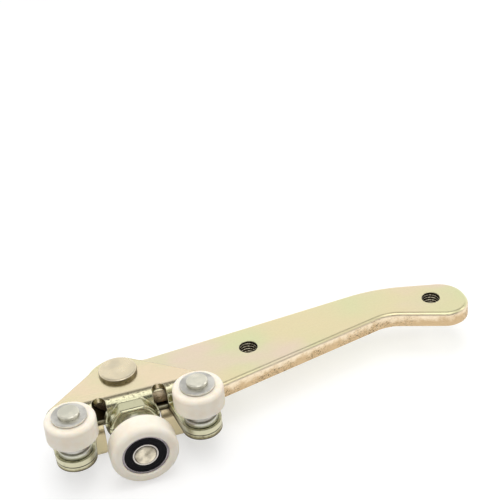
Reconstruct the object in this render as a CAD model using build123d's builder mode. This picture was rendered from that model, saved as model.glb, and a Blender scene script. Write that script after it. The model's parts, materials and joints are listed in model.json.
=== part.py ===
"""Lower roller of a sliding door: a flat door arm with a swivelling roller carriage.

Frame: origin at the centre of the load wheel, +X along the track, +Y away from the
track towards the door, +Z up. The load wheel turns about Y, the guide rollers about
vertical axes, and the carriage swivels on the arm about the big rivet. Millimetres.
"""

from build123d import *
import math
import os

os.makedirs("parts", exist_ok=True)

# ---- Load wheel and its bearing --------------------------------------------------
WHEEL_OD = 32.0
WHEEL_W = 12.0
WHEEL_EDGE_R = 2.6
WHEEL_REAR_LIP = 2.0          # how far the wheel's rear wall laps over the bearing
WHEEL_MOUTH_CHAMFER = 0.4
BEARING_OD = 22.0
BEARING_BORE = 10.0
BEARING_W = 6.0
BEARING_RECESS = 1.0          # bearing face behind the wheel's front face
BALL_D = 3.175
BALL_COUNT = 11
BALL_CLEARANCE = 0.05         # ball to raceway, each side
SHOULDER_H = 0.4875           # ring shoulders beside the ball groove, past the ball's side
RING_LIP = 1.0                # ring rim left between seal and bore or outside
SEAL_T = 0.6
SEAL_RECESS = 0.25
CAGE_T = 1.2
CAGE_RAIL = 0.35

# ---- Load axle -------------------------------------------------------------------
AXLE_PROUD = 0.7              # axle end in front of the bearing
AXLE_CHAMFER = 0.5
AXLE_TAIL_D = 8.0
AXLE_SPACER_WALL = 1.5
AXLE_FORMED_D = 11.2          # rivet head formed behind the boss
AXLE_FORMED_H = 2.2

# ---- Bent sheet brackets ---------------------------------------------------------
UPPER_T = 3.0
LOWER_T = 2.5
STOP_T = 3.0
BEND_R = 2.5                  # inside radius of the big bends
WEB_FRONT_Y = 24.0            # front face of the upright web
TONGUE_W = 22.4               # middle strip that carries the axle
SLOT_W = 6.7                  # gap between the strip and each ear
BOSS_R = 12.1                 # pressed boss around the load axle
BOSS_Z = -2.2                 # centre of its round sides
BOSS_TOP_Z = 8.7              # flat top, which runs back into the big bend
BOSS_BOTTOM_Z = -11.0
BOSS_CORNER_R = 3.0
BOSS_DEPTH = 6.0              # how far it is pressed forward
BOSS_EDGE_R = 1.5
BOSS_ROOT_R = 1.0             # hollow corner where it rises from the web
BOSS_WALL_T = 2.4             # its drawn side wall, thinner than the sheet
PADDLE_MARGIN = 1.1           # strip's lower end around the boss
PAD_TOP_Z = 2.5
PAD_BEND_R = 0.8              # inside radius of the sharp bend from web to pad
APEX_R = 11.5                 # rounded back corner of the upper bracket
FLANK_INSET = 2.2             # top leg is this much narrower than the ears, each side
LOWER_LEG_INSET = 1.5         # lower leg is this much smaller all round
STOP_INNER_X = 14.0           # down-turned tabs either side of the wheel
STOP_OUTER_X = 24.5
STOP_BOTTOM_Z = -18.5
STOP_EYE_R = 10.5
STOP_CORNER_R = 1.5

# ---- Guide rollers ---------------------------------------------------------------
GUIDE_X = 30.0
GUIDE_Y = 8.0
GUIDE_OD = 24.0
GUIDE_H = 10.8
GUIDE_BOTTOM_Z = 11.0
GUIDE_TOP_EDGE_R = 2.1
GUIDE_LOW_EDGE_R = 0.7
GUIDE_BORE = 12.0
GUIDE_PAD_R = 9.5
EAR_STEP = 0.1                # web's end stands this far outside the pad
PIN_D = 8.0
PIN_TAIL_D = 6.5
PIN_HEAD_D = 9.9
PIN_HEAD_H = 2.0
PIN_FORMED_D = 9.5
PIN_FORMED_H = 1.4
BUSH_COLLAR_STEP = 1.0        # collar under the roller, wider than its bore each side
SPACER_WASHER_D = 16.0
SPACER_WASHER_T = 2.7
TOP_WASHER_D = 16.4
TOP_WASHER_T = 1.3
WASHER_CHAMFER = 0.25
PIN_HEAD_CHAMFER = 0.5
PIN_FORMED_CHAMFER = 0.8

# ---- Arm and swivel --------------------------------------------------------------
RIVET_X = -1.2                # swivel axis, behind the load wheel
RIVET_Y = 45.0
ARM_T = 8.0
ARM_FACE_GAP = 0.25           # arm to each bracket leg
ARM_TOP_EDGE_R = 1.8          # where the blanking punch drew the rim down
ARM_LOW_EDGE_R = 0.5
ARM_HOLE_R = 4.5              # wall of the two tapped holes
ARM_HOLE_CHAMFER = 0.25
ARM_HOLES = ((65.2, -0.5), (163.2, 3.4))  # from the swivel axis
ARM_NECK_R = 6.0              # hollow corner between nose and back edge
ARM_NECK_INSET = 7.5          # back edge of the arm in from the back of the nose
ARM_EAR_GAP = 2.0             # arm's shoulder to the side of the right ear
ARM_SHOULDER_OUT = 3.8        # shoulder's corner, outside the ear
ARM_SHOULDER_FRONT = 3.5      # shoulder's corner, in front of the web
SWIVEL_BUSH_OD = 16.0
RIVET_D = 10.0
RIVET_HEAD_D = 18.5
RIVET_HEAD_H = 2.3
RIVET_HEAD_EDGE = 1.0
RIVET_WASHER_D = 18.0
RIVET_WASHER_T = 1.2
RIVET_FORMED_D = 14.5
RIVET_FORMED_H = 2.4

# ---- Fits and clearances ---------------------------------------------------------
RUNNING = 0.05                # radial, turning on a pin or bush
SEAL_RUNNING = 0.08           # radial, seal lip to inner ring
AXIAL_PLAY = 0.2
BEND_CLEARANCE = 0.3          # arm's top rim to the inside of the big bend

# ---- Places worked out from the sizes above --------------------------------------
wheel_front_y = -WHEEL_W / 2
bearing_front_y = wheel_front_y + BEARING_RECESS
bearing_mid_y = bearing_front_y + BEARING_W / 2
bearing_back_y = bearing_front_y + BEARING_W
pitch_r = (BEARING_BORE + BEARING_OD) / 4
race_r = BALL_D / 2 + BALL_CLEARANCE
boss_front_y = WEB_FRONT_Y - BOSS_DEPTH
boss_back_y = boss_front_y + UPPER_T
web_back_y = WEB_FRONT_Y + UPPER_T
bend_start_y = web_back_y + BEND_R

lower_top_z = PAD_TOP_Z - UPPER_T
lower_bottom_z = lower_top_z - LOWER_T
stop_bottom_z = lower_bottom_z - STOP_T
arm_bottom_z = lower_top_z + ARM_FACE_GAP
arm_top_z = arm_bottom_z + ARM_T
leg_bottom_z = arm_top_z + ARM_FACE_GAP
leg_top_z = leg_bottom_z + UPPER_T
bend_z = leg_bottom_z - BEND_R
stop_bend_y = WEB_FRONT_Y + STOP_T + BEND_R
slot_x = (TONGUE_W + SLOT_W) / 2
ear_inner_x = TONGUE_W / 2 + SLOT_W
ear_outer_x = GUIDE_X + GUIDE_PAD_R + EAR_STEP
flank_x = ear_outer_x - FLANK_INSET
inner_shoulder_r = pitch_r - BALL_D / 2 + SHOULDER_H
outer_shoulder_r = pitch_r + BALL_D / 2 - SHOULDER_H
seal_inner_r = BEARING_BORE / 2 + RING_LIP
seal_outer_r = BEARING_OD / 2 - RING_LIP
arm_hole_places = [(RIVET_X + x, RIVET_Y + y) for x, y in ARM_HOLES]
bend_reach = math.sqrt(BEND_R**2 - (BEND_R - ARM_FACE_GAP) ** 2)
nose_r = RIVET_Y - bend_start_y + bend_reach - BEND_CLEARANCE


def leg_plan(z, eye_r, half_width, front_y):
    """Flat leg seen from above: straight front edge and flanks running to a round eye."""
    with BuildSketch(Plane.XY.offset(z)) as plan:
        with BuildLine():
            CenterArc((RIVET_X, RIVET_Y), eye_r, 0, 360)
            Line((-half_width, front_y), (half_width, front_y))
        make_hull()
    return plan.sketch


def ear_plan(z, side, back_y):
    """One ear seen from above, from its straight back edge forward to its round pad."""
    with BuildSketch(Plane.XY.offset(z)) as plan:
        with BuildLine():
            CenterArc((side * GUIDE_X, GUIDE_Y), GUIDE_PAD_R, 0, 360)
            Line((side * ear_inner_x, back_y), (side * ear_outer_x, back_y))
        make_hull()
    return plan.sketch


def bent_section(top_z, thickness, end_z):
    """Side section of the big bend and the web that hangs from it."""
    bend_y = WEB_FRONT_Y + thickness + BEND_R
    bend_centre_z = top_z - thickness - BEND_R
    with BuildSketch(Plane.YZ) as section:
        with BuildLine():
            CenterArc((bend_y, bend_centre_z), BEND_R + thickness, 90, 90)
            Polyline(
                (WEB_FRONT_Y, bend_centre_z),
                (WEB_FRONT_Y, end_z),
                (WEB_FRONT_Y + thickness, end_z),
                (WEB_FRONT_Y + thickness, bend_centre_z),
            )
            CenterArc((bend_y, bend_centre_z), BEND_R, 90, 90)
            Line((bend_y, top_z - thickness), (bend_y, top_z))
        make_face()
    return section.sketch


def facing_door(y):
    """Plane across the load axle at y, looking towards the door."""
    return Plane(origin=(0, y, 0), x_dir=(1, 0, 0), z_dir=(0, 1, 0))


def boss_outline(y, grow, top_z):
    """Round outline with a flat top and bottom, grown (or shrunk) from the boss's own."""
    bottom_z = BOSS_BOTTOM_Z - grow
    with BuildSketch(facing_door(y)) as outline:
        with Locations((0, -BOSS_Z)):
            Circle(BOSS_R + grow)
        with Locations((0, -(top_z + bottom_z) / 2)):
            Rectangle(3 * BOSS_R, top_z - bottom_z, mode=Mode.INTERSECT)
        fillet(outline.vertices(), radius=BOSS_CORNER_R + grow)
    return outline.sketch


def guide_section_plane(side):
    """Upright plane through a guide axis, for sections of turned parts."""
    return Plane(origin=(side * GUIDE_X, GUIDE_Y, 0), x_dir=(1, 0, 0), z_dir=(0, -1, 0))


def guide_axis(side):
    return Axis((side * GUIDE_X, GUIDE_Y, 0), (0, 0, 1))


# ---- Upper bracket: top leg, big bend, axle strip and two ears -------------------
with BuildPart() as upper_bracket:
    extrude(leg_plan(leg_bottom_z, APEX_R, flank_x, bend_start_y), amount=UPPER_T)
    extrude(
        bent_section(leg_top_z, UPPER_T, lower_top_z),
        amount=ear_outer_x,
        both=True,
    )
    # Flank corners, so that the ends of the bend run on from the top leg.
    for side in (-1, 1):
        with BuildSketch(Plane.XY.offset(lower_top_z)):
            with BuildLine():
                Polyline(
                    (side * flank_x, bend_start_y),
                    (side * (ear_outer_x + 1), bend_start_y),
                    (side * (ear_outer_x + 1), web_back_y),
                    (side * ear_outer_x, web_back_y),
                    close=True,
                )
            make_face()
        extrude(amount=leg_top_z - lower_top_z + 1, mode=Mode.SUBTRACT)
    # Ears: the web carries on forward as a pad under each guide roller.
    for side in (-1, 1):
        extrude(ear_plan(lower_top_z, side, WEB_FRONT_Y), amount=UPPER_T)
    # Round-ended gaps that part the axle strip from the ears.
    for side in (-1, 1):
        with BuildSketch(Plane.XY.offset(lower_top_z - 1)):
            with Locations((side * slot_x, bend_start_y - SLOT_W / 2)):
                Circle(SLOT_W / 2)
            with Locations((side * slot_x, bend_start_y - SLOT_W / 2)):
                Rectangle(SLOT_W, bend_start_y - GUIDE_Y, align=(Align.CENTER, Align.MAX))
        extrude(amount=leg_top_z - lower_top_z + 2, mode=Mode.SUBTRACT)
    # Sharp bend from web to pad: small inside radius, large outside radius.
    pad_crease = (
        upper_bracket.edges()
        .filter_by(Axis.X)
        .filter_by_position(Axis.Y, WEB_FRONT_Y - 0.01, WEB_FRONT_Y + 0.01)
        .filter_by_position(Axis.Z, PAD_TOP_Z - 0.01, PAD_TOP_Z + 0.01)
    )
    fillet(pad_crease, radius=PAD_BEND_R)
    pad_heel = (
        upper_bracket.edges()
        .filter_by(Axis.X)
        .filter_by_position(Axis.Y, web_back_y - 0.01, web_back_y + 0.01)
        .filter_by_position(Axis.Z, lower_top_z - 0.01, lower_top_z + 0.01)
        .filter_by(lambda edge: abs(edge.center().X) > ear_inner_x)
    )
    fillet(pad_heel, radius=PAD_BEND_R + BEND_R)
    # Lower end of the axle strip.
    extrude(boss_outline(WEB_FRONT_Y, PADDLE_MARGIN, bend_z), amount=UPPER_T)
    # Boss pressed forward around the load axle, hollow behind. It starts inside the
    # sheet, so that its top also meets the curve of the big bend.
    extrude(boss_outline(boss_front_y, 0, BOSS_TOP_Z), amount=BOSS_DEPTH + UPPER_T / 2)
    boss_rim = upper_bracket.faces().filter_by_position(
        Axis.Y, boss_front_y - 0.01, boss_front_y + 0.01
    ).edges()
    fillet(boss_rim, radius=BOSS_EDGE_R)
    boss_root = upper_bracket.edges().filter_by(
        lambda edge: WEB_FRONT_Y - 0.01 < edge.center().Y < web_back_y - UPPER_T / 2
        and math.hypot(edge.center().X, edge.center().Z - BOSS_Z) < BOSS_R + 0.1
        and BOSS_BOTTOM_Z - 0.1 < edge.center().Z < BOSS_TOP_Z + 0.1
        and abs(edge.center().Z - bend_z) > 0.01
    )
    fillet(boss_root, radius=BOSS_ROOT_R)
    hollow = boss_outline(boss_back_y, -BOSS_WALL_T, BOSS_TOP_Z - BOSS_WALL_T)
    extrude(hollow, amount=BOSS_DEPTH, mode=Mode.SUBTRACT)
    # Holes for the axle tail, the swivel rivet and the two guide pins.
    with BuildSketch(facing_door(boss_front_y)):
        Circle(AXLE_TAIL_D / 2)
    extrude(amount=UPPER_T, mode=Mode.SUBTRACT)
    with BuildSketch(Plane.XY.offset(leg_bottom_z)):
        with Locations((RIVET_X, RIVET_Y)):
            Circle(RIVET_D / 2)
    extrude(amount=UPPER_T, mode=Mode.SUBTRACT)
    with BuildSketch(Plane.XY.offset(lower_top_z)):
        with Locations((-GUIDE_X, GUIDE_Y), (GUIDE_X, GUIDE_Y)):
            Circle(PIN_TAIL_D / 2)
    extrude(amount=UPPER_T, mode=Mode.SUBTRACT)
upper_bracket.part.label = "upper_bracket"
export_step(upper_bracket.part, "parts/upper_bracket.step")

# ---- Lower bracket: flat leg under the arm, running forward under both pads ------
with BuildPart() as lower_bracket:
    extrude(
        leg_plan(lower_bottom_z, APEX_R - LOWER_LEG_INSET, flank_x, web_back_y),
        amount=LOWER_T,
    )
    for side in (-1, 1):
        extrude(ear_plan(lower_bottom_z, side, web_back_y), amount=LOWER_T)
    with BuildSketch(Plane.XY.offset(lower_bottom_z)):
        with Locations((RIVET_X, RIVET_Y)):
            Circle(RIVET_D / 2)
        with Locations((-GUIDE_X, GUIDE_Y), (GUIDE_X, GUIDE_Y)):
            Circle(PIN_TAIL_D / 2)
    extrude(amount=LOWER_T, mode=Mode.SUBTRACT)
lower_bracket.part.label = "lower_bracket"
export_step(lower_bracket.part, "parts/lower_bracket.step")

# ---- Stop plate: under the lower bracket, with two tabs turned down --------------
with BuildPart() as stop_plate:
    extrude(
        leg_plan(stop_bottom_z, STOP_EYE_R, STOP_OUTER_X, stop_bend_y),
        amount=STOP_T,
    )
    extrude(
        bent_section(lower_bottom_z, STOP_T, STOP_BOTTOM_Z),
        amount=STOP_OUTER_X,
        both=True,
    )
    with BuildSketch(facing_door(WEB_FRONT_Y - 1)):
        Rectangle(2 * STOP_INNER_X, 2 * abs(STOP_BOTTOM_Z) + 2)
    extrude(amount=stop_bend_y - WEB_FRONT_Y + 1, mode=Mode.SUBTRACT)
    with BuildSketch(Plane.XY.offset(stop_bottom_z)):
        with Locations((RIVET_X, RIVET_Y)):
            Circle(RIVET_D / 2)
    extrude(amount=STOP_T, mode=Mode.SUBTRACT)
    tab_corners = (
        stop_plate.edges()
        .filter_by(Axis.Y)
        .filter_by_position(Axis.Z, STOP_BOTTOM_Z - 0.01, STOP_BOTTOM_Z + 0.01)
    )
    fillet(tab_corners, radius=STOP_CORNER_R)
stop_plate.part.label = "stop_plate"
export_step(stop_plate.part, "parts/stop_plate.step")

# ---- Door arm --------------------------------------------------------------------
nose_front_y = RIVET_Y - nose_r
neck_y = RIVET_Y + nose_r - ARM_NECK_INSET
ARM_CORNERS = (
    # x, y and corner radius, from the shoulder beside the right ear round to the back edge
    (ear_outer_x + ARM_EAR_GAP, nose_front_y, 1.5),
    (ear_outer_x + ARM_SHOULDER_OUT, WEB_FRONT_Y - ARM_SHOULDER_FRONT, 2.0),
    (136.8, RIVET_Y - 1.3, 20.0),
    (165.5, RIVET_Y - 12.8, 10.0),
    (179.3, RIVET_Y - 12.8, 11.5),
    (179.3, RIVET_Y + 11.6, 14.0),
    (138.1, RIVET_Y + 22.6, 80.0),
)
with BuildPart() as arm_plate:
    with BuildSketch(Plane.XY.offset(arm_bottom_z)) as arm_sketch:
        with BuildLine():
            FilletPolyline(
                (0, nose_front_y),
                *[(x, y) for x, y, radius in ARM_CORNERS],
                (0, neck_y),
                radius=[radius for x, y, radius in ARM_CORNERS],
            )
            Line((0, neck_y), (0, nose_front_y))
        make_face()
        with Locations((RIVET_X, RIVET_Y)):
            Circle(nose_r)
        neck = arm_sketch.vertices().sort_by_distance((RIVET_X + nose_r, RIVET_Y + nose_r / 2))[0]
        fillet(neck, radius=ARM_NECK_R)
    extrude(amount=ARM_T)
    fillet(arm_plate.faces().sort_by(Axis.Z)[-1].edges(), radius=ARM_TOP_EDGE_R)
    fillet(arm_plate.faces().sort_by(Axis.Z)[0].edges(), radius=ARM_LOW_EDGE_R)
    with BuildSketch(Plane.XY.offset(arm_bottom_z)):
        with Locations((RIVET_X, RIVET_Y)):
            Circle(SWIVEL_BUSH_OD / 2 + RUNNING)
        with Locations(*arm_hole_places):
            Circle(ARM_HOLE_R)
    extrude(amount=ARM_T, mode=Mode.SUBTRACT)
    tapped_mouths = (
        arm_plate.edges()
        .filter_by(GeomType.CIRCLE)
        .filter_by(lambda edge: abs(edge.radius - ARM_HOLE_R) < 0.01)
    )
    chamfer(tapped_mouths, length=ARM_HOLE_CHAMFER)
arm_plate.part.label = "arm_plate"
export_step(arm_plate.part, "parts/arm_plate.step")

# ---- Swivel: bush, big rivet and the washer under its formed head ----------------
with BuildPart() as swivel_bush:
    with BuildSketch(Plane.XY.offset(lower_top_z)):
        with Locations((RIVET_X, RIVET_Y)):
            Circle(SWIVEL_BUSH_OD / 2)
            Circle(RIVET_D / 2, mode=Mode.SUBTRACT)
    extrude(amount=leg_bottom_z - lower_top_z)
swivel_bush.part.label = "swivel_bush"
export_step(swivel_bush.part, "parts/swivel_bush.step")

with BuildPart() as swivel_washer:
    with BuildSketch(Plane.XY.offset(stop_bottom_z - RIVET_WASHER_T)):
        with Locations((RIVET_X, RIVET_Y)):
            Circle(RIVET_WASHER_D / 2)
            Circle(RIVET_D / 2, mode=Mode.SUBTRACT)
    extrude(amount=RIVET_WASHER_T)
    chamfer(swivel_washer.edges().group_by(SortBy.LENGTH)[-1], length=WASHER_CHAMFER)
swivel_washer.part.label = "swivel_washer"
export_step(swivel_washer.part, "parts/swivel_washer.step")

rivet_tail_z = stop_bottom_z - RIVET_WASHER_T
with BuildPart() as swivel_rivet:
    with BuildSketch(Plane.XY.offset(leg_top_z)):
        with Locations((RIVET_X, RIVET_Y)):
            Circle(RIVET_HEAD_D / 2)
    extrude(amount=RIVET_HEAD_H)
    fillet(swivel_rivet.edges().group_by(Axis.Z)[-1], radius=RIVET_HEAD_EDGE)
    with BuildSketch(Plane.XY.offset(rivet_tail_z)):
        with Locations((RIVET_X, RIVET_Y)):
            Circle(RIVET_D / 2)
    extrude(amount=leg_top_z - rivet_tail_z)
    with BuildSketch(Plane.XY.offset(rivet_tail_z)):
        with Locations((RIVET_X, RIVET_Y)):
            Circle(RIVET_FORMED_D / 2)
    extrude(amount=-RIVET_FORMED_H)
    fillet(swivel_rivet.edges().group_by(Axis.Z)[0], radius=RIVET_FORMED_H * 0.6)
swivel_rivet.part.label = "swivel_rivet"
export_step(swivel_rivet.part, "parts/swivel_rivet.step")

# ---- Load axle and its spacer ----------------------------------------------------
axle_front_y = bearing_front_y - AXLE_PROUD
with BuildPart() as load_axle:
    with BuildSketch():
        with BuildLine():
            Polyline(
                (0, axle_front_y),
                (BEARING_BORE / 2 - AXLE_CHAMFER, axle_front_y),
                (BEARING_BORE / 2, axle_front_y + AXLE_CHAMFER),
                (BEARING_BORE / 2, boss_front_y),
                (AXLE_TAIL_D / 2, boss_front_y),
                (AXLE_TAIL_D / 2, boss_back_y),
                (AXLE_FORMED_D / 2, boss_back_y),
                (AXLE_FORMED_D / 2, boss_back_y + AXLE_FORMED_H / 2),
                (AXLE_FORMED_D / 2 - AXLE_FORMED_H / 2, boss_back_y + AXLE_FORMED_H),
                (0, boss_back_y + AXLE_FORMED_H),
                close=True,
            )
        make_face()
    revolve(axis=Axis.Y)
load_axle.part.label = "load_axle"
export_step(load_axle.part, "parts/load_axle.step")

spacer_r = BEARING_BORE / 2 + AXLE_SPACER_WALL
with BuildPart() as axle_spacer:
    with BuildSketch():
        with BuildLine():
            Polyline(
                (BEARING_BORE / 2, bearing_back_y),
                (seal_inner_r - SEAL_RUNNING, bearing_back_y),
                (spacer_r, bearing_back_y + SEAL_T),
                (spacer_r, boss_front_y),
                (BEARING_BORE / 2, boss_front_y),
                close=True,
            )
        make_face()
    revolve(axis=Axis.Y)
axle_spacer.part.label = "axle_spacer"
export_step(axle_spacer.part, "parts/axle_spacer.step")

# ---- Load wheel: nylon tyre on a sealed ball bearing -----------------------------
tyre_wall = (WHEEL_OD - BEARING_OD) / 2
tyre_edge_r = min(WHEEL_EDGE_R, tyre_wall - 1.5 * WHEEL_MOUTH_CHAMFER)
with BuildPart() as load_tyre:
    with BuildSketch() as tyre_section:
        with BuildLine():
            Polyline(
                (BEARING_OD / 2, wheel_front_y),
                (WHEEL_OD / 2, wheel_front_y),
                (WHEEL_OD / 2, -wheel_front_y),
                (BEARING_OD / 2 - WHEEL_REAR_LIP, -wheel_front_y),
                (BEARING_OD / 2 - WHEEL_REAR_LIP, bearing_back_y),
                (BEARING_OD / 2, bearing_back_y),
                close=True,
            )
        make_face()
        fillet(tyre_section.vertices().group_by(Axis.X)[-1], radius=tyre_edge_r)
        inner_mouths = tyre_section.vertices().filter_by(
            lambda corner: corner.X < BEARING_OD / 2 + 0.01 and abs(corner.Y) > WHEEL_W / 2 - 0.01
        )
        chamfer(inner_mouths, length=WHEEL_MOUTH_CHAMFER)
    revolve(axis=Axis.Y)
load_tyre.part.label = "load_tyre"
export_step(load_tyre.part, "parts/load_tyre.step")

seal_back = BEARING_W / 2 - SEAL_RECESS - SEAL_T
inner_shoulder_half = seal_back - 0.1
with BuildPart() as bearing_inner_ring:
    with BuildSketch(Plane.XY):
        with Locations((BEARING_BORE / 2, bearing_mid_y)):
            Rectangle(
                RING_LIP,
                BEARING_W,
                align=(Align.MIN, Align.CENTER),
            )
            Rectangle(
                inner_shoulder_r - BEARING_BORE / 2,
                2 * inner_shoulder_half,
                align=(Align.MIN, Align.CENTER),
            )
        with Locations((pitch_r, bearing_mid_y)):
            Circle(race_r, mode=Mode.SUBTRACT)
    revolve(axis=Axis.Y)
bearing_inner_ring.part.label = "bearing_inner_ring"
export_step(bearing_inner_ring.part, "parts/bearing_inner_ring.step")

with BuildPart() as bearing_outer_ring:
    with BuildSketch(Plane.XY):
        with Locations((BEARING_OD / 2, bearing_mid_y)):
            Rectangle(
                RING_LIP,
                BEARING_W,
                align=(Align.MAX, Align.CENTER),
            )
            Rectangle(
                BEARING_OD / 2 - outer_shoulder_r,
                2 * seal_back,
                align=(Align.MAX, Align.CENTER),
            )
        with Locations((pitch_r, bearing_mid_y)):
            Circle(race_r, mode=Mode.SUBTRACT)
    revolve(axis=Axis.Y)
bearing_outer_ring.part.label = "bearing_outer_ring"
export_step(bearing_outer_ring.part, "parts/bearing_outer_ring.step")

for name, seal_y in (
    ("bearing_front_seal", bearing_mid_y - seal_back - SEAL_T),
    ("bearing_rear_seal", bearing_mid_y + seal_back),
):
    with BuildPart() as seal:
        with BuildSketch(facing_door(seal_y)):
            Circle(seal_outer_r)
            Circle(seal_inner_r + SEAL_RUNNING, mode=Mode.SUBTRACT)
        extrude(amount=SEAL_T)
    seal.part.label = name
    export_step(seal.part, f"parts/{name}.step")

ball_planes = []
for ball in range(BALL_COUNT):
    angle = 2 * math.pi * (ball + 0.5) / BALL_COUNT
    outward = (math.cos(angle), 0, math.sin(angle))
    centre = (pitch_r * outward[0], bearing_mid_y, pitch_r * outward[2])
    ball_planes.append(Plane(origin=centre, x_dir=(0, 1, 0), z_dir=outward))

with BuildPart() as bearing_balls:
    with Locations(*ball_planes):
        Sphere(BALL_D / 2)
bearing_balls.part.label = "bearing_balls"
export_step(bearing_balls.part, "parts/bearing_balls.step")

with BuildPart() as bearing_cage:
    with BuildSketch(facing_door(bearing_mid_y)):
        Circle(pitch_r + CAGE_T / 2)
        Circle(pitch_r - CAGE_T / 2, mode=Mode.SUBTRACT)
    extrude(amount=BALL_D / 2 + CAGE_RAIL, both=True)
    with Locations(*ball_planes):
        Cylinder(race_r, 3 * CAGE_T, mode=Mode.SUBTRACT)
bearing_cage.part.label = "bearing_cage"
export_step(bearing_cage.part, "parts/bearing_cage.step")

# ---- Guide rollers, one on each ear ----------------------------------------------
spacer_top_z = PAD_TOP_Z + SPACER_WASHER_T
collar_top_z = GUIDE_BOTTOM_Z - AXIAL_PLAY
guide_top_z = GUIDE_BOTTOM_Z + GUIDE_H
bush_top_z = guide_top_z + AXIAL_PLAY
washer_top_z = bush_top_z + TOP_WASHER_T
pin_top_z = washer_top_z + PIN_HEAD_H
pin_bottom_z = lower_bottom_z - PIN_FORMED_H
bush_r = GUIDE_BORE / 2 - RUNNING
collar_r = GUIDE_BORE / 2 + BUSH_COLLAR_STEP

for hand, side in (("left", -1), ("right", 1)):
    with BuildPart() as guide_roller:
        with BuildSketch(guide_section_plane(side)) as roller_section:
            with Locations((GUIDE_BORE / 2, GUIDE_BOTTOM_Z)):
                Rectangle((GUIDE_OD - GUIDE_BORE) / 2, GUIDE_H, align=(Align.MIN, Align.MIN))
            outer_corners = roller_section.vertices().group_by(Axis.X)[-1].sort_by(Axis.Y)
            fillet(outer_corners[0], radius=GUIDE_LOW_EDGE_R)
            top_corner = roller_section.vertices().group_by(Axis.Y)[-1].sort_by(Axis.X)[-1]
            fillet(top_corner, radius=GUIDE_TOP_EDGE_R)
        revolve(axis=guide_axis(side))
    guide_roller.part.label = f"{hand}_guide_roller"
    export_step(guide_roller.part, f"parts/{hand}_guide_roller.step")

    with BuildPart() as guide_bush:
        with BuildSketch(guide_section_plane(side)):
            with BuildLine():
                Polyline(
                    (PIN_D / 2, spacer_top_z),
                    (collar_r, spacer_top_z),
                    (collar_r, collar_top_z),
                    (bush_r, collar_top_z),
                    (bush_r, bush_top_z),
                    (PIN_D / 2, bush_top_z),
                    close=True,
                )
            make_face()
        revolve(axis=guide_axis(side))
    guide_bush.part.label = f"{hand}_guide_bush"
    export_step(guide_bush.part, f"parts/{hand}_guide_bush.step")

    for washer_name, outer_d, low_z, thick in (
        ("spacer_washer", SPACER_WASHER_D, PAD_TOP_Z, SPACER_WASHER_T),
        ("top_washer", TOP_WASHER_D, bush_top_z, TOP_WASHER_T),
    ):
        with BuildPart() as washer:
            with BuildSketch(Plane.XY.offset(low_z)):
                with Locations((side * GUIDE_X, GUIDE_Y)):
                    Circle(outer_d / 2)
            extrude(amount=thick)
            chamfer(washer.edges().filter_by(GeomType.CIRCLE), length=WASHER_CHAMFER)
            with BuildSketch(Plane.XY.offset(low_z)):
                with Locations((side * GUIDE_X, GUIDE_Y)):
                    Circle(PIN_D / 2)
            extrude(amount=thick, mode=Mode.SUBTRACT)
        washer.part.label = f"{hand}_{washer_name}"
        export_step(washer.part, f"parts/{hand}_{washer_name}.step")

    with BuildPart() as guide_pin:
        with BuildSketch(guide_section_plane(side)):
            with BuildLine():
                Polyline(
                    (0, pin_bottom_z),
                    (PIN_FORMED_D / 2 - PIN_FORMED_CHAMFER, pin_bottom_z),
                    (PIN_FORMED_D / 2, pin_bottom_z + PIN_FORMED_CHAMFER),
                    (PIN_FORMED_D / 2, lower_bottom_z),
                    (PIN_TAIL_D / 2, lower_bottom_z),
                    (PIN_TAIL_D / 2, PAD_TOP_Z),
                    (PIN_D / 2, PAD_TOP_Z),
                    (PIN_D / 2, washer_top_z),
                    (PIN_HEAD_D / 2, washer_top_z),
                    (PIN_HEAD_D / 2, pin_top_z - PIN_HEAD_CHAMFER),
                    (PIN_HEAD_D / 2 - PIN_HEAD_CHAMFER, pin_top_z),
                    (0, pin_top_z),
                    close=True,
                )
            make_face()
        revolve(axis=guide_axis(side))
    guide_pin.part.label = f"{hand}_guide_pin"
    export_step(guide_pin.part, f"parts/{hand}_guide_pin.step")
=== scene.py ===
# %% [markdown]
# # A lower sliding door roller
# This lesson finishes one piece of van hardware: a flat steel arm that bolts to a
# sliding door, and a small carriage at its end with a load wheel and two guide rollers.
# The solid shapes come from the CAD model, which is loaded first and is never changed.
# Blender adds the finishes, the screw threads and the light.

# %% Load the CAD model
import json
import math
import bmesh
import bpy
from mathutils import Matrix, Vector


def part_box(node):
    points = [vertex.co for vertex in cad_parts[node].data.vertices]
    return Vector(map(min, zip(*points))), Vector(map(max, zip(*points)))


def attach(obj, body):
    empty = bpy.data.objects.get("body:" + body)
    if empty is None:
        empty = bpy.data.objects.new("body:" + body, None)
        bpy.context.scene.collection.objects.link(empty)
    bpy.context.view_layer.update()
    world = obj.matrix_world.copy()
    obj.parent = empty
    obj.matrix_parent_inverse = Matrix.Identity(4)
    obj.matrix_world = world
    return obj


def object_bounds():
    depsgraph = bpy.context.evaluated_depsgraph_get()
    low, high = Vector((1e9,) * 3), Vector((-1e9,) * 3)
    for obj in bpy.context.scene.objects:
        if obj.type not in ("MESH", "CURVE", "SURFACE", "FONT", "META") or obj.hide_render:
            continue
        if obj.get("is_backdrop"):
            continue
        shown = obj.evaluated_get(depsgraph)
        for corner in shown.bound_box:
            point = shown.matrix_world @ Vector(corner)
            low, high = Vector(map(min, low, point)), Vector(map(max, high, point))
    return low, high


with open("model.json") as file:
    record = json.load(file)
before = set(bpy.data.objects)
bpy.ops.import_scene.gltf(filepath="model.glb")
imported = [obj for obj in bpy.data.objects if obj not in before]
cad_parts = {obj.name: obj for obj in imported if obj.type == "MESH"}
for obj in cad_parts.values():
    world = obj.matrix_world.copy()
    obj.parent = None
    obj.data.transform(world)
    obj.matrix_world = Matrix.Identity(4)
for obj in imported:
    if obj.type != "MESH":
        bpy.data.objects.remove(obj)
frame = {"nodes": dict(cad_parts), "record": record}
cad_low, cad_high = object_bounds()
MM = 0.001
print("pieces of the CAD model:", len(frame["nodes"]))
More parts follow.
